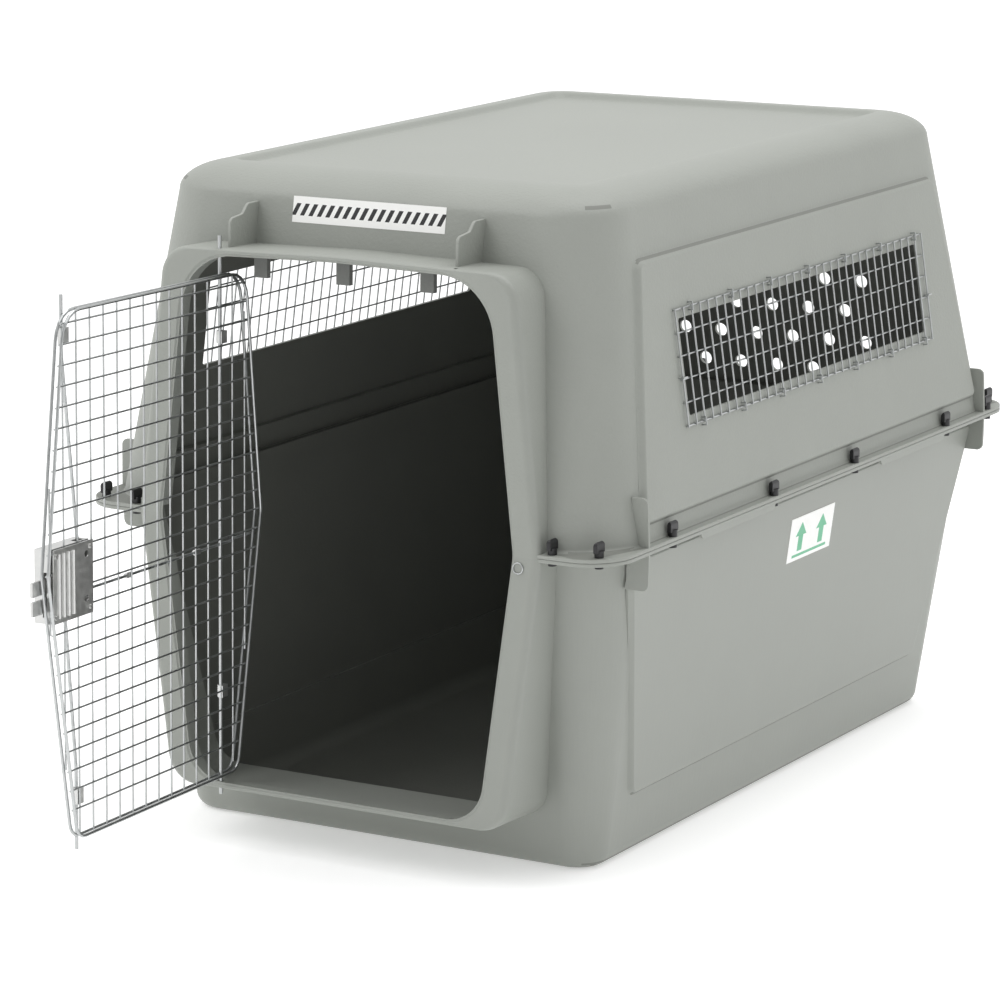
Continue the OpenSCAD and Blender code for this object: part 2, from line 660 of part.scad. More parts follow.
module cross_rod_guides() color("#a8abad") on_door()
    for (x = [-110, 60])
        translate([x, cross_y, cross_z]) rotate([0, 90, 0])
            difference() {
                cylinder(d = 7.4, h = 12, center = true);
                cylinder(d = 3.6 + 0.16, h = 14, center = true);
                translate([-10, mesh_y - wire_d - 2 * eps - cross_y, -10]) cube([20, 10, 20]);
            }

// Coil springs that push the two slides apart, one on each side of the cover's web
module spring(z0, z1) {
    steps = 12 * spring_turns;
    sweep([for (i = [0:steps]) let (a = 30 * i)
        [tab_x + spring_r * cos(a), rod_y - 1 + spring_r * sin(a), z0 + (z1 - z0) * i / steps]],
        spring_d, sides = 6);
}
module upper_spring() color("#9a9da0") on_door() spring(web_z + 1.4, -0.6);
module lower_spring() color("#9a9da0") on_door() spring(low_top + 0.6, web_z - 1.4);

top_shell();
bottom_shell();
door_stop_tabs();
flange_bolts();
flange_nuts();
window_uprights(-1);  // left_window_uprights
window_bars(-1);  // left_window_bars
window_clips(-1);  // left_window_clips
window_uprights(1);  // right_window_uprights
window_bars(1);  // right_window_bars
window_clips(1);  // right_window_clips
wire_loop();
front_label();
side_labels();
door_edge_outer();
door_edge_inner();
door_uprights();
door_bars();
hinge_rod();
hinge_rod_clips();
latch_plate();
latch_cover();
latch_rivets();
upper_slide();
upper_rod();
lower_slide();
lower_rod();
rod_guides();
side_bolts();
cross_rod();
cross_rod_guides();
upper_spring();
lower_spring();
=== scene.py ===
"""Pet transport carrier: two moulded shells bolted at a flange, a wire door that stands open on
its hinge rod, and a wire mesh window on each side. Sizes are in millimetres until a mesh is made."""
import json
import math
import bmesh
import bpy
from mathutils import Matrix, Vector


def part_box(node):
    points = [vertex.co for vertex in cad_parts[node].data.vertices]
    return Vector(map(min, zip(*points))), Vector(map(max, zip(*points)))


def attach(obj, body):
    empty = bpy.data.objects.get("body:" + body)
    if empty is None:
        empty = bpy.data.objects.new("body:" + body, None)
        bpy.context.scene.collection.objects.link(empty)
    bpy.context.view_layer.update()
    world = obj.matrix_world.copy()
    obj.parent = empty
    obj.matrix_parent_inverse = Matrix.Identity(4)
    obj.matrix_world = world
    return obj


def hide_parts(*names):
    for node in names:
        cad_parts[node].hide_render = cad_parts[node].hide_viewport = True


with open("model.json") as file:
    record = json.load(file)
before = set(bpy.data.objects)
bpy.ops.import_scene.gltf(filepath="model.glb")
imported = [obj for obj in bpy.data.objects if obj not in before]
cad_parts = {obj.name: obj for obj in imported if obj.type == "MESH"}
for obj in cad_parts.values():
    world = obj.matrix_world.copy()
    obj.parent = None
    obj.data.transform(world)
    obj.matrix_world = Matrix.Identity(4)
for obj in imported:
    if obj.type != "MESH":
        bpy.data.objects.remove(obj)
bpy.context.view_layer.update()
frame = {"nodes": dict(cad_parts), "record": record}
nodes = frame["nodes"]
scene = bpy.context.scene
MM = 0.001


# ---------- sizes ----------

def span(node, axis):
    """Lowest and highest coordinate of a node along an axis, in millimetres."""
    low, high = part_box(node)
    return low[axis] / MM, high[axis] / MM


FLANGE_HX = span("top_shell", 0)[1]
FLANGE_HY = span("top_shell", 1)[1]
SPLIT_Z, BODY_H = span("top_shell", 2)
FLANGE_T = 5
FLANGE_R = 60
WALL = 4

# the two shells where they meet the flange, and their lean in degrees
TOP_HX, TOP_HY, TOP_R = FLANGE_HX - 13, FLANGE_HY - 21, 102
LOW_HX, LOW_HY, LOW_R = FLANGE_HX - 25.5, FLANGE_HY - 43.5, 92
TOP_LEAN_X, TOP_LEAN_Y = 7.9, 10.4
LOW_LEAN_X, LOW_LEAN_Y = 8.4, 8.2
ROOF_R = 84
ROOF_ROUND = (66, 80, 37)
ROOF_TRAY = 8
BASE_R, BASE_ROUND = 46, 22

# door frame, in its own plane: x across, y back from its face, z up from the joint
FRAME_Y = span("top_shell", 1)[0]
FRAME_LEAN = 2
WAY_HALF, WAY_TOP, WAY_LOW = 268, 228, 220
WAY_UP, WAY_DOWN = 345, 353
WAY_R, WAY_LOW_R, BAND_R = 80, 55, 42
CROWN = 5
POST_BAND, LINTEL_BAND = 38, 9
RIM_DEPTH = 22.5

# side panels and windows
PANEL_RAISE, LOW_RAISE = 8, 6
WIN_HALF, WIN_LOW, WIN_H, WIN_LAP = 367, 134, 150, 12

# door's rods: distances from the middle of the doorway, and depth behind the frame's face
HINGE_X, UPPER_ROD_X, LOWER_ROD_X, ROD_Y = 178.5, 205, 180, 6.6
HINGE_BORE_R, LATCH_BORE_R = 2.7, 2.75

# corner plates of the flange, and its bolt holes
PLATE_Y = 507
BOLT_HOLE_R = 2.7


# ---------- outlines and lofts ----------

def fillet(a, p, b, r, steps):
    """The arc that rounds corner p between its neighbours a and b."""
    if r == 0:
        return [p]
    u, w = (a - p).normalized(), (b - p).normalized()
    half = math.acos(max(-1, min(1, u.dot(w)))) / 2
    centre = p + (u + w).normalized() * r / math.sin(half)
    start = p + u * r / math.tan(half) - centre
    end = p + w * r / math.tan(half) - centre
    first = math.atan2(start.y, start.x)
    turn = (math.atan2(end.y, end.x) - first + math.pi) % math.tau - math.pi
    angles = [first + turn * i / steps for i in range(steps + 1)]
    return [centre + Vector((math.cos(t), math.sin(t))) * r for t in angles]


def rounded(points, radii, steps=16):
    """A closed outline with each corner rounded by its own radius."""
    points = [Vector(p) for p in points]
    if isinstance(radii, (int, float)):
        radii = [radii] * len(points)
    line = []
    for i, p in enumerate(points):
        line += fillet(points[i - 1], p, points[(i + 1) % len(points)], radii[i], steps)
    return line


def round_rect(hx, hy, r, steps=16):
    return rounded([(hx, hy), (-hx, hy), (-hx, -hy), (hx, -hy)], r, steps)


def solid(name, *lofts):
    """A closed mesh from stacks of rings, each ring a list of points in millimetres."""
    bm = bmesh.new()
    for rings in lofts:
        rows = [[bm.verts.new(Vector(p) * MM) for p in ring] for ring in rings]
        count = len(rows[0])
        for low, high in zip(rows, rows[1:]):
            for i in range(count):
                j = (i + 1) % count
                bm.faces.new((low[i], low[j], high[j], high[i]))
        bm.faces.new(rows[0][::-1])
        bm.faces.new(rows[-1])
    bmesh.ops.recalc_face_normals(bm, faces=bm.faces)
    mesh = bpy.data.meshes.new(name)
    bm.to_mesh(mesh)
    bm.free()
    obj = bpy.data.objects.new(name, mesh)
    scene.collection.objects.link(obj)
    return obj


def combine(base, tool, operation):
    """Unites, cuts or intersects base with tool, and discards the tool."""
    step = base.modifiers.new(operation, "BOOLEAN")
    step.operation = operation
    step.object = tool
    step.solver = "MANIFOLD"
    bpy.context.view_layer.update()
    evaluated = base.evaluated_get(bpy.context.evaluated_depsgraph_get())
    mesh = bpy.data.meshes.new_from_object(evaluated)
    base.modifiers.clear()
    base.data = mesh
    bpy.data.objects.remove(tool)
    return base


def smooth(obj, angle=35):
    """Smooth shading that keeps flat faces flat and edges sharper than angle crisp."""
    mesh = obj.data
    mesh.polygons.foreach_set("use_smooth", [True] * len(mesh.polygons))
    mesh.set_sharp_from_angle(angle=math.radians(angle))
    step = obj.modifiers.new("even_normals", "WEIGHTED_NORMAL")
    step.keep_sharp = True
    step.weight = 80
    return obj


def box_rings(x0, x1, y0, y1, z0, z1, r=0.0, steps=3):
    """A box whose edges round z are rounded by r."""
    cx, cy = (x0 + x1) / 2, (y0 + y1) / 2
    line = round_rect((x1 - x0) / 2, (y1 - y0) / 2, r, steps) if r else \
        rounded([((x1 - x0) / 2, (y1 - y0) / 2), ((x0 - x1) / 2, (y1 - y0) / 2),
                 ((x0 - x1) / 2, (y0 - y1) / 2), ((x1 - x0) / 2, (y0 - y1) / 2)], 0)
    return [[(p.x + cx, p.y + cy, z) for p in line] for z in (z0, z1)]


def bar(a, b, r, sides=20):
    """A round bar between two points."""
    a, b = Vector(a), Vector(b)
    across = (b - a).orthogonal().normalized()
    up = (b - a).normalized().cross(across)
    ring = [across * r * math.cos(math.tau * i / sides) + up * r * math.sin(math.tau * i / sides)
            for i in range(sides)]
    return [[a + p for p in ring], [b + p for p in ring]]


def placed(rings, matrix):
    return [[matrix @ Vector(p) for p in ring] for ring in rings]


TILT = Matrix.Rotation(-math.radians(FRAME_LEAN), 4, "X")
IN_FRAME = Matrix.Translation((0, FRAME_Y, SPLIT_Z)) @ TILT


def on_side(side, hx, lean):
    """Stands a part on a side wall: x out from the wall, y along it, z up it from the joint."""
    wall = Matrix.Translation((hx, 0, SPLIT_Z)) @ Matrix.Rotation(-math.radians(lean), 4, "Y")
    return Matrix.Diagonal((side, 1, 1, 1)) @ wall


def upper_side(side):
    return on_side(side, TOP_HX, TOP_LEAN_X)


def lower_side(side):
    return on_side(side, LOW_HX, -LOW_LEAN_X)


# ---------- the shells' solids ----------

def smoothstep(t):
    return t * t * (3 - 2 * t)


def upper_levels(inset, roof):
    """(z, half x, half y, corner radius) up the upper shell, to where its roof begins."""
    tx, ty = math.tan(math.radians(TOP_LEAN_X)), math.tan(math.radians(TOP_LEAN_Y))
    round_x, round_y, round_z = ROOF_ROUND
    top = BODY_H - round_z
    rise = top - SPLIT_Z
    levels = [(SPLIT_Z, TOP_HX - inset, TOP_HY - inset, TOP_R - inset)]
    for i in range(13):
        a = math.pi / 2 * i / 12
        levels.append((top - inset + (roof - top + inset) * math.sin(a),
                       TOP_HX - tx * rise - inset - round_x * (1 - math.cos(a)),
                       TOP_HY - ty * rise - inset - round_y * (1 - math.cos(a)),
                       max(ROOF_R - inset - round_x * (1 - math.cos(a)), 18)))
    return levels


def lower_levels(inset):
    tx, ty = math.tan(math.radians(LOW_LEAN_X)), math.tan(math.radians(LOW_LEAN_Y))
    rise = SPLIT_Z - BASE_ROUND
    levels = []
    for i in range(9):
        a = math.pi / 2 * i / 8
        s = BASE_ROUND * (1 - math.sin(a))
        levels.append((inset + BASE_ROUND * (1 - math.cos(a)), LOW_HX - tx * rise - inset - s,
                       LOW_HY - ty * rise - inset - s, BASE_R - inset - s))
    return levels + [(SPLIT_Z, LOW_HX - inset, LOW_HY - inset, LOW_R - inset)]


def level_rings(levels, steps=20):
    return [[(p.x, p.y, z) for p in round_rect(hx, hy, r, steps)] for z, hx, hy, r in levels]


def roof_levels():
    """From the crest of the roof's rim down a soft slope to the tray."""
    z, hx, hy, r = upper_levels(0, BODY_H)[-1]
    levels = []
    for i in range(1, 9):
        t = i / 8
        run = 1 + 13 * t
        levels.append((z - ROOF_TRAY * smoothstep(t), hx - run, hy - run, max(r - 0.5 * run, 10)))
    return levels


def root_flare(levels, sign):
    """Widens a shell where it meets its flange, as a moulded root does."""
    (z, hx, hy, r), reach = levels[0], 5
    flare = []
    for i in range(5):
        a = math.pi / 2 * i / 4
        out = reach * (1 - math.sin(a))
        rise = FLANGE_T + reach * (1 - math.cos(a))
        flare.append((z + sign * rise, hx + out, hy + out, r + out))
    return [(z, hx + reach, hy + reach, r + reach)] + flare + levels[1:]


def flange(z0):
    edge = 1.2
    rings = []
    for z, inset in ((0, edge), (0.35, 0.35), (edge, 0), (FLANGE_T - edge, 0),
                     (FLANGE_T - 0.35, 0.35), (FLANGE_T, edge)):
        rings.append([(p.x, p.y, z0 + z) for p in
                      round_rect(FLANGE_HX - inset, FLANGE_HY - inset, FLANGE_R - inset)])
    return rings


def upper_panel(grow):
    return rounded([(498 + grow, 30 - grow), (436 + grow, 356 + grow), (-436 - grow, 356 + grow),
                    (-498 - grow, 30 - grow)], [max(r + grow, 2) for r in (8, 14, 14, 8)], 6)


def lower_panel(grow):
    return rounded([(510 + grow, -14 + grow), (-510 - grow, -14 + grow),
                    (-425 - grow, -352 - grow), (425 + grow, -352 - grow)],
                   [max(r + grow, 2) for r in (8, 8, 14, 14)], 6)


def panel_rings(outline, raise_by, soft, matrix):
    """A raised panel whose edge rises in a soft S."""
    rings = [[(-3, p.x, p.y) for p in outline(soft)]]
    for i in range(9):
        t = i / 8
        rings.append([(0.15 + (raise_by - 0.15) * smoothstep(t), p.x, p.y)
                      for p in outline(soft * (1 - 2 * t))])
    return placed(rings, matrix)


def doorway(g, e, top=WAY_R, low=WAY_LOW_R):
    """The doorway's outline, grown by g at the sides and e at the top and bottom."""
    return rounded([(WAY_HALF + g, 0), (WAY_TOP + g, WAY_UP + e), (0, WAY_UP + e + CROWN),
                    (-WAY_TOP - g, WAY_UP + e), (-WAY_HALF - g, 0),
                    (-WAY_LOW - g, -WAY_DOWN - e), (WAY_LOW + g, -WAY_DOWN - e)],
                   [60, top, 900, top, 60, low, low])


def band(g, e):
    """The outline of the raised frame, whose corners are squarer than the doorway's."""
    return doorway(g, e, BAND_R, BAND_R)


def frame_rings(levels, outline=doorway):
    """A loft through outlines of the frame, given as (depth, grow at sides, grow at ends)."""
    return placed([[(p.x, y, p.y) for p in outline(g, e)] for y, g, e in levels], IN_FRAME)


def shoulder_rings(inset, front):
    """The frame's block, its front shoulder rounded, drawn in by inset from a given depth."""
    shoulder, nose = 11, 3
    levels = [(191, POST_BAND - inset, LINTEL_BAND - inset)]
    for i in range(9):
        a = math.pi / 2 * i / 8
        levels.append((front + shoulder * (1 - math.sin(a)),
                       POST_BAND - inset - shoulder * (1 - math.cos(a)),
                       LINTEL_BAND - inset - nose * (1 - math.cos(a))))
    return frame_rings(levels, band)


def frame_opening():
    """What is cut for the doorway, its front edge rounded."""
    lip = 3.5
    levels = [(-30, lip, lip)]
    for i in range(7):
        a = math.pi / 2 * i / 6
        levels.append((lip * math.sin(a), lip * (1 - math.sin(a)), lip * (1 - math.sin(a))))
    return frame_rings(levels + [(191, 0, 0)])


def turned_rim():
    """The rim turned in round the doorway, as a ring."""
    rim = solid("rim", frame_rings([(2, WALL, WALL), (RIM_DEPTH - 0.8, WALL, WALL),
                                    (RIM_DEPTH, WALL - 0.8, WALL - 0.8)]))
    return combine(rim, solid("way", frame_rings([(1, 0, 0), (RIM_DEPTH - 0.8, 0, 0),
                                                  (RIM_DEPTH + 0.1, 0.8, 0.8)])), "DIFFERENCE")


def half_space(z0, z1):
    return solid("half", box_rings(-420, 420, -720, -300, z0, z1))


def bolt_places():
    """Where the flange's bolts stand, found from their nodes' box."""
    side_x = span("flange_bolts", 0)[1] - 5.5
    end_y = span("flange_bolts", 1)[1] - 5.5
    places = [(s * side_x, y) for s in (-1, 1) for y in (-435, -153, 90, 387, 529)]
    places += [(s * 377, t * (end_y - 14)) for s in (-1, 1) for t in (-1, 1)]
    places += [(s * 318, t * end_y) for s in (-1, 1) for t in (-1, 1)]
    return places + [(s * 110, end_y) for s in (-1, 1)]


def upright_bores(places):
    """Bores through the lintel or sill, given as (x, low end, high end, radius), on both sides."""
    return [placed(bar((s * x, ROD_Y, low), (s * x, ROD_Y, high), r), IN_FRAME)
            for s in (-1, 1) for x, low, high, r in places]


def bolt_slots():
    """Slots in the posts for the side bolts; the hinge side's is open at the back."""
    lofts = []
    for s in (-1, 1):
        deep = 10.15 if s > 0 else RIM_DEPTH + 3
        x = s * (WAY_HALF + 1)
        lofts.append(placed(box_rings(x - 12, x + 12, 3.05, deep, -57, 9), IN_FRAME))
    return lofts


def cut_rod_holes(shell):
    """Hinge bores and latch bores overlap each other, so each kind is its own cut."""
    hinge = ((HINGE_X, -WAY_DOWN - 40, -WAY_DOWN + 40, HINGE_BORE_R),
             (HINGE_X, WAY_UP - 40, WAY_UP + 40, HINGE_BORE_R))
    latch = ((UPPER_ROD_X, WAY_UP - 60, WAY_UP - 2, LATCH_BORE_R),
             (LOWER_ROD_X, -WAY_DOWN - 30, -WAY_DOWN + 20, LATCH_BORE_R))
    for places in (hinge, latch):
        combine(shell, solid("bores", *upright_bores(places)), "DIFFERENCE")
    combine(shell, solid("slots", *bolt_slots()), "DIFFERENCE")


def gusset_rings(z0, z1, x0, x1, side, y):
    """A plate that ties the flange's corner to the shell, its free corner rounded."""
    out = FLANGE_HX
    line = rounded([(x0, z0), (out - 0.3, z0), (out - 2, z1), (x1, z1)], [0, 0, 9, 0], 6)
    rings = []
    for dy, shrink in ((-2, 0.5), (-1.5, 0), (1.5, 0), (2, 0.5)):
        rings.append([(side * (p.x - (shrink if p.x > x0 + 4 else 0)), y + dy,
                       SPLIT_Z + p.y * (1 - shrink / abs(z1))) for p in line])
    return rings


def fin_rings(side):
    """An upright fin on the lintel, rising from its front edge back to the wall."""
    line = rounded([(FRAME_Y + 31, WAY_UP + 4), (FRAME_Y + 33, WAY_UP + 47), (FRAME_Y + 62, WAY_UP + 50),
                    (FRAME_Y + 74, WAY_UP + 62), (FRAME_Y + 112, WAY_UP + 62),
                    (FRAME_Y + 112, WAY_UP + 4)], [0, 9, 10, 8, 0, 0], 6)
    rings = []
    for dx, shrink in ((-2.2, 1), (-1.4, 0), (1.4, 0), (2.2, 1)):
        middle = Vector((FRAME_Y + 74, WAY_UP + 30))
        rings.append([(side * 172 + dx, p.x + (middle.x - p.x) * shrink * 0.025,
                       SPLIT_Z + p.y + (middle.y - p.y) * shrink * 0.025) for p in line])
    return rings


def window_opening(side):
    hy, hz = WIN_HALF - WIN_LAP, WIN_H / 2 - WIN_LAP
    line = rounded([(hy, -hz), (hy, hz), (-hy, hz), (-hy, -hz)], 4, 5)
    rings = [[(x, p.x, p.y + WIN_LOW + WIN_H / 2) for p in line] for x in (-30, PANEL_RAISE + 2)]
    return placed(rings, upper_side(side))


def panel_recess(outline, depth, matrix):
    return placed([[(x, p.x, p.y) for p in outline(-WALL)] for x in (-30, depth)], matrix)


def rear_vents():
    lofts = []
    for row in range(4):
        odd = row % 2
        for i in range(-3, 4 - odd):
            x, z = (i + odd / 2) * 61, SPLIT_Z + 174 - row * 47.5
            lofts.append(bar((x, 400, z), (x, 620, z), 10, 28))
    return lofts


def corner_plates(z0, z1, x0, x1):
    """The four plates at the flange's corners."""
    return [gusset_rings(z0, z1, x0, x1, s, y) for s in (-1, 1) for y in (-PLATE_Y, PLATE_Y)]


def flange_holes():
    """A hole at each flange bolt."""
    return [bar((x, y, SPLIT_Z - 9), (x, y, SPLIT_Z + 9), BOLT_HOLE_R, 16) for x, y in bolt_places()]


def upper_shell():
    shell = solid("upper_shell", level_rings(root_flare(upper_levels(0, BODY_H), 1) + roof_levels()))
    combine(shell, solid("clear", frame_rings([(-50, 30, 5), (190, 30, 5)])), "DIFFERENCE")
    for part in (flange(SPLIT_Z),
                 panel_rings(upper_panel, PANEL_RAISE, 5, upper_side(1)),
                 panel_rings(upper_panel, PANEL_RAISE, 5, upper_side(-1))):
        combine(shell, solid("part", part), "UNION")
    band = combine(solid("band", shoulder_rings(0, 0)), half_space(SPLIT_Z, SPLIT_Z + 420), "INTERSECT")
    combine(shell, band, "UNION")
    combine(shell, solid("plates", *corner_plates(FLANGE_T - 1, 68, TOP_HX - 8, TOP_HX - 12)), "UNION")
    combine(shell, solid("fins", fin_rings(-1), fin_rings(1)), "UNION")
    inner = upper_levels(WALL, BODY_H - ROOF_TRAY - WALL)
    combine(shell, solid("hollow", level_rings([(SPLIT_Z - 1,) + inner[0][1:]] + inner)), "DIFFERENCE")
    recesses = [panel_recess(upper_panel, PANEL_RAISE - WALL, upper_side(s)) for s in (-1, 1)]
    combine(shell, solid("recess", *recesses), "DIFFERENCE")
    combine(shell, solid("windows", window_opening(-1), window_opening(1)), "DIFFERENCE")
    pocket = combine(solid("pocket", shoulder_rings(WALL, WALL)),
                     half_space(SPLIT_Z - 1, SPLIT_Z + 420), "INTERSECT")
    combine(shell, pocket, "DIFFERENCE")
    combine(shell, solid("way", frame_opening()), "DIFFERENCE")
    combine(shell, combine(turned_rim(), half_space(SPLIT_Z, SPLIT_Z + 420), "INTERSECT"), "UNION")
    cut_rod_holes(shell)
    combine(shell, solid("vents", *rear_vents()), "DIFFERENCE")
    combine(shell, solid("bolts", *flange_holes()), "DIFFERENCE")
    return smooth(shell)


def grip_rings(side, y):
    """A hand grip's lip, turned down from the flange's edge, with tapered ends."""
    half, drop = 105, 7
    line = [(-half, 0.5), (-half + 4, -drop + 2), (-half + 8, -drop),
            (half - 8, -drop), (half - 4, -drop + 2), (half, 0.5)]
    return [[(side * (FLANGE_HX - inset), y + p[0], SPLIT_Z - FLANGE_T + p[1]) for p in line]
            for inset in (4, 0.2)]


def lower_shell():
    levels = root_flare([lower_levels(0)[-1]] + lower_levels(0)[:-1][::-1], -1)
    shell = solid("lower_shell", level_rings(levels))
    combine(shell, solid("clear", frame_rings([(-50, 30, 5), (190, 30, 5)])), "DIFFERENCE")
    for part in (flange(SPLIT_Z - FLANGE_T),
                 panel_rings(lower_panel, LOW_RAISE, 4, lower_side(1)),
                 panel_rings(lower_panel, LOW_RAISE, 4, lower_side(-1))):
        combine(shell, solid("part", part), "UNION")
    band = combine(solid("band", shoulder_rings(0, 0)), half_space(SPLIT_Z - 420, SPLIT_Z), "INTERSECT")
    combine(shell, band, "UNION")
    combine(shell, solid("plates", *corner_plates(-FLANGE_T + 1, -52, LOW_HX - 2, LOW_HX - 10)), "UNION")
    combine(shell, solid("grips", *[grip_rings(s, y) for s in (-1, 1) for y in (-265, 265)]), "UNION")
    inner = lower_levels(WALL)
    combine(shell, solid("hollow", level_rings(inner + [(SPLIT_Z + 1,) + inner[-1][1:]])), "DIFFERENCE")
    recesses = [panel_recess(lower_panel, LOW_RAISE - WALL, lower_side(s)) for s in (-1, 1)]
    combine(shell, solid("recess", *recesses), "DIFFERENCE")
    pocket = combine(solid("pocket", shoulder_rings(WALL, WALL)),
                     half_space(SPLIT_Z - 420, SPLIT_Z + 1), "INTERSECT")
    combine(shell, pocket, "DIFFERENCE")
    combine(shell, solid("way", frame_opening()), "DIFFERENCE")
    combine(shell, combine(turned_rim(), half_space(SPLIT_Z - 420, SPLIT_Z), "INTERSECT"), "UNION")
    cut_rod_holes(shell)
    combine(shell, solid("bolts", *flange_holes()), "DIFFERENCE")
    return smooth(shell)


# ---------- small pieces ----------

def wing_nuts():
    """A nut on each flange bolt: a round boss under an upright wing with rounded edges."""
    low, high = span("flange_nuts", 2)
    bosses, wings = [], []
    for x, y in bolt_places():
        bosses.append(bar((x, y, low), (x, y, low + 9), 6, 28))
        rings = []
        for z, shrink in ((low + 6, 0.6), (low + 7, 0), (high - 4, 0), (high - 1.5, 0.7), (high, 2.2)):
            hx, hy = 3 - shrink, 10 - shrink
            rings += box_rings(x - hx, x + hx, y - hy, y + hy, z, z, 0.75)[:1]
        wings.append(rings)
    nuts = combine(solid("wing_nuts", *bosses), solid("wings", *wings), "UNION")
    bores = [bar((x, y, low - 1), (x, y, low + 12), 2.58, 24) for x, y in bolt_places()]
    return smooth(combine(nuts, solid("bores", *bores), "DIFFERENCE"))


def printed_mark(side):
    """Two upright arrows over a bar, printed on a side label."""
    out = LOW_RAISE + 0.46
    shapes = []
    for y in (-25, 37):
        shapes.append([(y - 7, -99), (y + 7, -99), (y + 7, -77), (y + 16, -77),
                       (y, -58), (y - 16, -77), (y - 7, -77)])
    shapes.append([(-45, -107), (57, -107), (57, -103), (-45, -103)])
    lofts = []
    for shape in shapes:
        lofts.append(placed([[(x, y, z) for y, z in shape] for x in (out, out + 0.14)], lower_side(side)))
    return solid("printed_arrows", *lofts)


# ---------- materials ----------

def srgb(code):
    """A hex colour as linear red, green, blue, alpha."""
    values = [int(code[i:i + 2], 16) / 255 for i in (1, 3, 5)]
    return [v / 12.92 if v <= 0.04045 else ((v + 0.055) / 1.055) ** 2.4 for v in values] + [1]


def add(tree, kind, settings=None, **links):
    """Adds a node, sets its properties or unlinked sockets, and links sockets by name."""
    node = tree.nodes.new(kind)
    for key, value in (settings or {}).items():
        if isinstance(key, str) and hasattr(node, key):
            setattr(node, key, value)
        else:
            node.inputs[key].default_value = value
    for key, source in links.items():
        numbered = key[0] == "_" and key[1:].isdigit()
        socket = node.inputs[int(key[1:]) if numbered else key.replace("_", " ")]
        tree.links.new(source, socket)
    return node


def new_material(name, settings):
    """A material with a principled shader, and the object's own coordinates."""
    material = bpy.data.materials.new(name)
    material.use_nodes = True
    tree = material.node_tree
    shader = tree.nodes["Principled BSDF"]
    for key, value in settings.items():
        shader.inputs[key].default_value = value
    place = add(tree, "ShaderNodeTexCoord").outputs["Object"]
    return material, tree, shader, place


def polypropylene(name, shade, light, rough, grain_mm, depth_mm, streak):
    """Moulded polypropylene: a little uneven in colour, satin, with its mould's grain."""
    material, tree, shader, place = new_material(name, {"IOR": 1.49, "Roughness": rough})
    cloud = add(tree, "ShaderNodeTexNoise", {"Scale": 6, "Detail": 4, "Roughness": 0.6}, Vector=place)
    colour = add(tree, "ShaderNodeMix", {"data_type": "RGBA", 6: srgb(shade), 7: srgb(light)},
                 _0=cloud.outputs["Fac"])
    tree.links.new(colour.outputs[2], shader.inputs["Base Color"])
    stretched = add(tree, "ShaderNodeMapping", {"Scale": (1, 1, 1 / streak)}, Vector=place)
    cells = add(tree, "ShaderNodeTexVoronoi",
                {"feature": "SMOOTH_F1", "Scale": 1 / (grain_mm * MM), "Smoothness": 0.6},
                Vector=stretched.outputs["Vector"])
    fine = add(tree, "ShaderNodeTexNoise", {"Scale": 2.2 / (grain_mm * MM), "Detail": 2},
               Vector=stretched.outputs["Vector"])
    height = add(tree, "ShaderNodeMath", {"operation": "ADD"},
                 _0=cells.outputs["Distance"], _1=fine.outputs["Fac"])
    bump = add(tree, "ShaderNodeBump", {"Strength": 0.5, "Distance": depth_mm * MM},
               Height=height.outputs[0])
    tree.links.new(bump.outputs["Normal"], shader.inputs["Normal"])
    spread = add(tree, "ShaderNodeMapRange", {"To Min": rough - 0.05, "To Max": rough + 0.08},
                 Value=cloud.outputs["Fac"])
    tree.links.new(spread.outputs[0], shader.inputs["Roughness"])
    return material


def plated_wire(name, dark, light, rough):
    """Zinc plated steel wire: bright, a little cloudy along its length."""
    material, tree, shader, place = new_material(name, {"Metallic": 1, "Roughness": rough})
    cloud = add(tree, "ShaderNodeTexNoise", {"Scale": 1 / (9 * MM), "Detail": 3}, Vector=place)
    colour = add(tree, "ShaderNodeMix", {"data_type": "RGBA", 6: srgb(dark), 7: srgb(light)},
                 _0=cloud.outputs["Fac"])
    tree.links.new(colour.outputs[2], shader.inputs["Base Color"])
    spread = add(tree, "ShaderNodeMapRange", {"To Min": rough - 0.08, "To Max": rough + 0.12},
                 Value=cloud.outputs["Fac"])
    tree.links.new(spread.outputs[0], shader.inputs["Roughness"])
    return material


def moulded(name, shade, light, rough, grain_mm):
    """A small moulded or printed plastic piece: satin, faintly uneven."""
    material, tree, shader, place = new_material(name, {"IOR": 1.5, "Roughness": rough})
    cloud = add(tree, "ShaderNodeTexNoise", {"Scale": 1 / (grain_mm * MM), "Detail": 3}, Vector=place)
    colour = add(tree, "ShaderNodeMix", {"data_type": "RGBA", 6: srgb(shade), 7: srgb(light)},
                 _0=cloud.outputs["Fac"])
    tree.links.new(colour.outputs[2], shader.inputs["Base Color"])
    bump = add(tree, "ShaderNodeBump", {"Strength": 0.3, "Distance": 0.1 * MM}, Height=cloud.outputs["Fac"])
    tree.links.new(bump.outputs["Normal"], shader.inputs["Normal"])
    return material


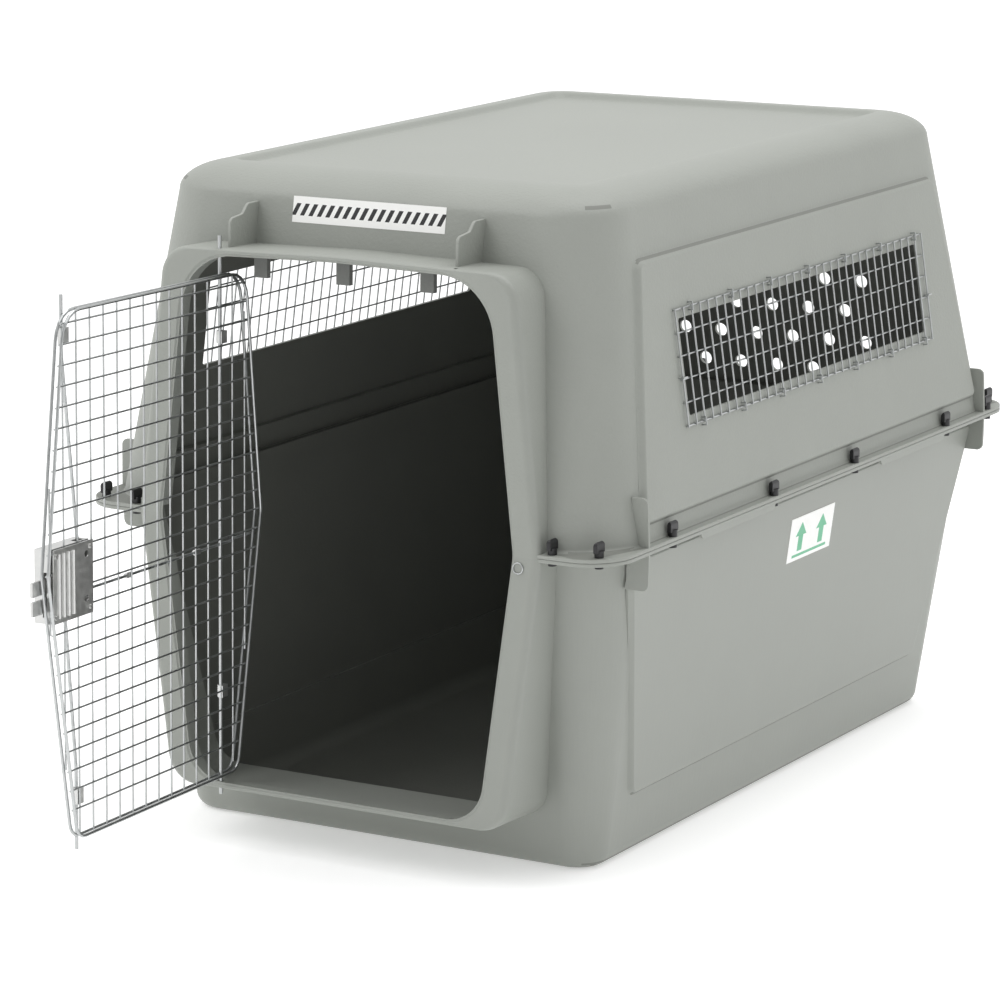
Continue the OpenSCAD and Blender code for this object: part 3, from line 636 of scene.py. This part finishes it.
GRAINED = polypropylene("grained_polypropylene", "#8f928c", "#9a9d97", 0.5, 4.5, 0.5, 1)
SATIN = polypropylene("satin_polypropylene", "#8d908a", "#979a94", 0.42, 5, 0.12, 14)
# the same plastic made darker: painted shade for the unlit inside of the shells
INSIDE_PAINTED_SHADE = polypropylene("polypropylene_inside_painted_shade", "#767873", "#80827c", 0.6, 5, 0.15, 1)
ZINC = plated_wire("zinc_plated_wire", "#a9acac", "#c6c8c8", 0.3)
NICKEL = plated_wire("nickel_plated_sheet", "#c4c5c4", "#dededc", 0.38)
NYLON = moulded("moulded_black_nylon", "#101012", "#1c1c1f", 0.38, 3)
TAB = moulded("moulded_tab_plastic", "#5f615e", "#6d6f6b", 0.45, 4)
VINYL = moulded("printed_white_vinyl", "#ececea", "#f7f7f5", 0.35, 12)
GREEN_INK = moulded("green_ink", "#5aae85", "#6dba95", 0.4, 6)


def barred_vinyl(name, low, high, pitch_mm, lean):
    """White vinyl printed with a row of plain slanted bars between two heights."""
    material, tree, shader, place = new_material(name, {"Roughness": 0.35, "IOR": 1.5})
    axes = add(tree, "ShaderNodeSeparateXYZ", Vector=place)
    slant = add(tree, "ShaderNodeMath", {"operation": "MULTIPLY", 1: -lean}, _0=axes.outputs["Z"])
    along = add(tree, "ShaderNodeMath", {"operation": "ADD"}, _0=axes.outputs["X"], _1=slant.outputs[0])
    turns = add(tree, "ShaderNodeMath", {"operation": "MULTIPLY", 1: 1 / (pitch_mm * MM)},
                _0=along.outputs[0])
    phase = add(tree, "ShaderNodeMath", {"operation": "FRACT"}, _0=turns.outputs[0])
    ink = add(tree, "ShaderNodeMath", {"operation": "LESS_THAN", 1: 0.5}, _0=phase.outputs[0])
    over = add(tree, "ShaderNodeMath", {"operation": "GREATER_THAN", 1: low * MM}, _0=axes.outputs["Z"])
    under = add(tree, "ShaderNodeMath", {"operation": "LESS_THAN", 1: high * MM}, _0=axes.outputs["Z"])
    row = add(tree, "ShaderNodeMath", {"operation": "MULTIPLY"}, _0=over.outputs[0], _1=under.outputs[0])
    mask = add(tree, "ShaderNodeMath", {"operation": "MULTIPLY"}, _0=row.outputs[0], _1=ink.outputs[0])
    colour = add(tree, "ShaderNodeMix", {"data_type": "RGBA", 6: srgb("#f4f4f2"), 7: srgb("#2a2a2b")},
                 _0=mask.outputs[0])
    tree.links.new(colour.outputs[2], shader.inputs["Base Color"])
    return material

SLOT_OF = {s["node"]: s["material_slot"] for s in frame["record"]["subparts"]}


def finish_piece(obj, material, body, *replaced):
    """Gives a piece its material and its body, and hides the nodes that it stands for."""
    if material:
        obj.data.materials.clear()
        obj.data.materials.append(material)
    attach(obj, body)
    if replaced:
        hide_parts(*replaced)
    return obj


def paint(obj, material):
    obj.data.materials.clear()
    obj.data.materials.append(material)


def paint_inside_shade(shell, outside, levels):
    """Outside finish, and painted shade inside: faces that look in, within the inner wall, get a darker
    copy of the plastic that stands in for the shade inside.
    """
    shell.data.materials.clear()
    shell.data.materials.append(outside)
    shell.data.materials.append(INSIDE_PAINTED_SHADE)
    shell.data.polygons.foreach_set("material_index", [0] * len(shell.data.polygons))
    ladder = sorted(levels)
    for face in shell.data.polygons:
        c, n = face.center / MM, face.normal
        if not ladder[0][0] - 1 < c.z < ladder[-1][0] + 1:
            continue
        near = min(ladder, key=lambda level: abs(level[0] - c.z))
        above = next((level for level in ladder if level[0] >= c.z), near)
        below = next((level for level in reversed(ladder) if level[0] <= c.z), near)
        t = (c.z - below[0]) / (above[0] - below[0]) if above[0] > below[0] else 0
        hx, hy = (below[k] + (above[k] - below[k]) * t for k in (1, 2))
        within = abs(c.x) < hx + 0.6 and abs(c.y) < hy + 0.6
        recess = abs(c.x) < hx + 9 and abs(c.y) < 505 and abs(n.x) > 0.5
        looks_in = n.x * c.x + n.y * c.y < 0 or abs(n.z) > 0.6
        if (within or recess) and looks_in and c.y > FRAME_Y + 26:
            face.material_index = 1


upper = upper_shell()
lower = lower_shell()
# inner faces and the backs of the raised panels get the darker copy of the plastic: painted shade
paint_inside_shade(upper, GRAINED, upper_levels(WALL, BODY_H - ROOF_TRAY - WALL))
paint_inside_shade(lower, SATIN, lower_levels(WALL))
finish_piece(upper, None, "shells", "top_shell")
finish_piece(lower, None, "shells", "bottom_shell")

for name, node in nodes.items():
    paint(node, {"zinc_wire": ZINC, "latch_chrome": NICKEL, "fastener_nylon": NYLON, "tab_plastic": TAB,
                 "label_vinyl": VINYL, "shell_plastic": GRAINED}[SLOT_OF[name]])

label_low, label_high = span("front_label", 2)
paint(nodes["front_label"], barred_vinyl("printed_white_strip", label_low + 9, label_high - 9, 13, 0.5))
finish_piece(wing_nuts(), NYLON, "shells", "flange_nuts")
for side in (-1, 1):
    finish_piece(printed_mark(side), GREEN_INK, "shells")

# ---------- floor, light and camera ----------

floor_mesh = bpy.data.meshes.new("floor")
edge = 30
corners = [(-edge, -edge, 0), (edge, -edge, 0), (edge, edge, 0), (-edge, edge, 0)]
floor_mesh.from_pydata(corners, [], [(0, 1, 2, 3)])
floor = bpy.data.objects.new("floor", floor_mesh)
scene.collection.objects.link(floor)
paper = new_material("white_paper", {"Base Color": srgb("#f4f4f4"), "Roughness": 0.9,
                                     "Emission Color": srgb("#ffffff"), "Emission Strength": 0.35})[0]
paint(floor, paper)

world = bpy.data.worlds.new("studio")
world.use_nodes = True
sky = world.node_tree
heading = add(sky, "ShaderNodeTexCoord").outputs["Generated"]
front = add(sky, "ShaderNodeVectorMath", {"operation": "DOT_PRODUCT", 1: (0.515, -0.857, 0.0)}, _0=heading)
level = add(sky, "ShaderNodeMapRange", {"From Min": -0.1, "From Max": 0.9, "To Min": 1.0, "To Max": 0.5},
            Value=front.outputs["Value"])
sky.links.new(level.outputs[0], sky.nodes["Background"].inputs["Strength"])
sky.nodes["Background"].inputs["Color"].default_value = (1, 1, 1, 1)
scene.world = world
scene.view_settings.view_transform = "Standard"


def soft_light(name, place, aim, width, power):
    light = bpy.data.lights.new(name, "AREA")
    light.size = width
    light.energy = power
    obj = bpy.data.objects.new(name, light)
    obj.location = place
    obj.rotation_euler = (Vector(aim) - Vector(place)).to_track_quat("-Z", "Y").to_euler()
    scene.collection.objects.link(obj)


soft_light("key", (-2.2, -3.0, 4.2), (0, 0, 0.4), 2.6, 60)
soft_light("top", (0.6, 0.4, 4.0), (0, 0, 0.8), 3.0, 60)

camera_data = bpy.data.cameras.new("camera")
camera_data.lens = 150
camera_data.sensor_width = 36
camera_data.clip_end = 100
camera = bpy.data.objects.new("camera", camera_data)
scene.collection.objects.link(camera)
azimuth, elevation, roll = math.radians(30.87), math.radians(12.246), math.radians(-0.472)
back = Vector((math.sin(azimuth) * math.cos(elevation), -math.cos(azimuth) * math.cos(elevation),
               math.sin(elevation)))
right = Vector((math.cos(azimuth), math.sin(azimuth), 0))
up = back.cross(right)
turned_right = right * math.cos(roll) + up * math.sin(roll)
turned_up = up * math.cos(roll) - right * math.sin(roll)
facing = Matrix((turned_right, turned_up, back)).transposed().to_4x4()
camera.matrix_world = Matrix.Translation((2.8613, -4.9794, 1.6128)) @ facing
scene.camera = camera
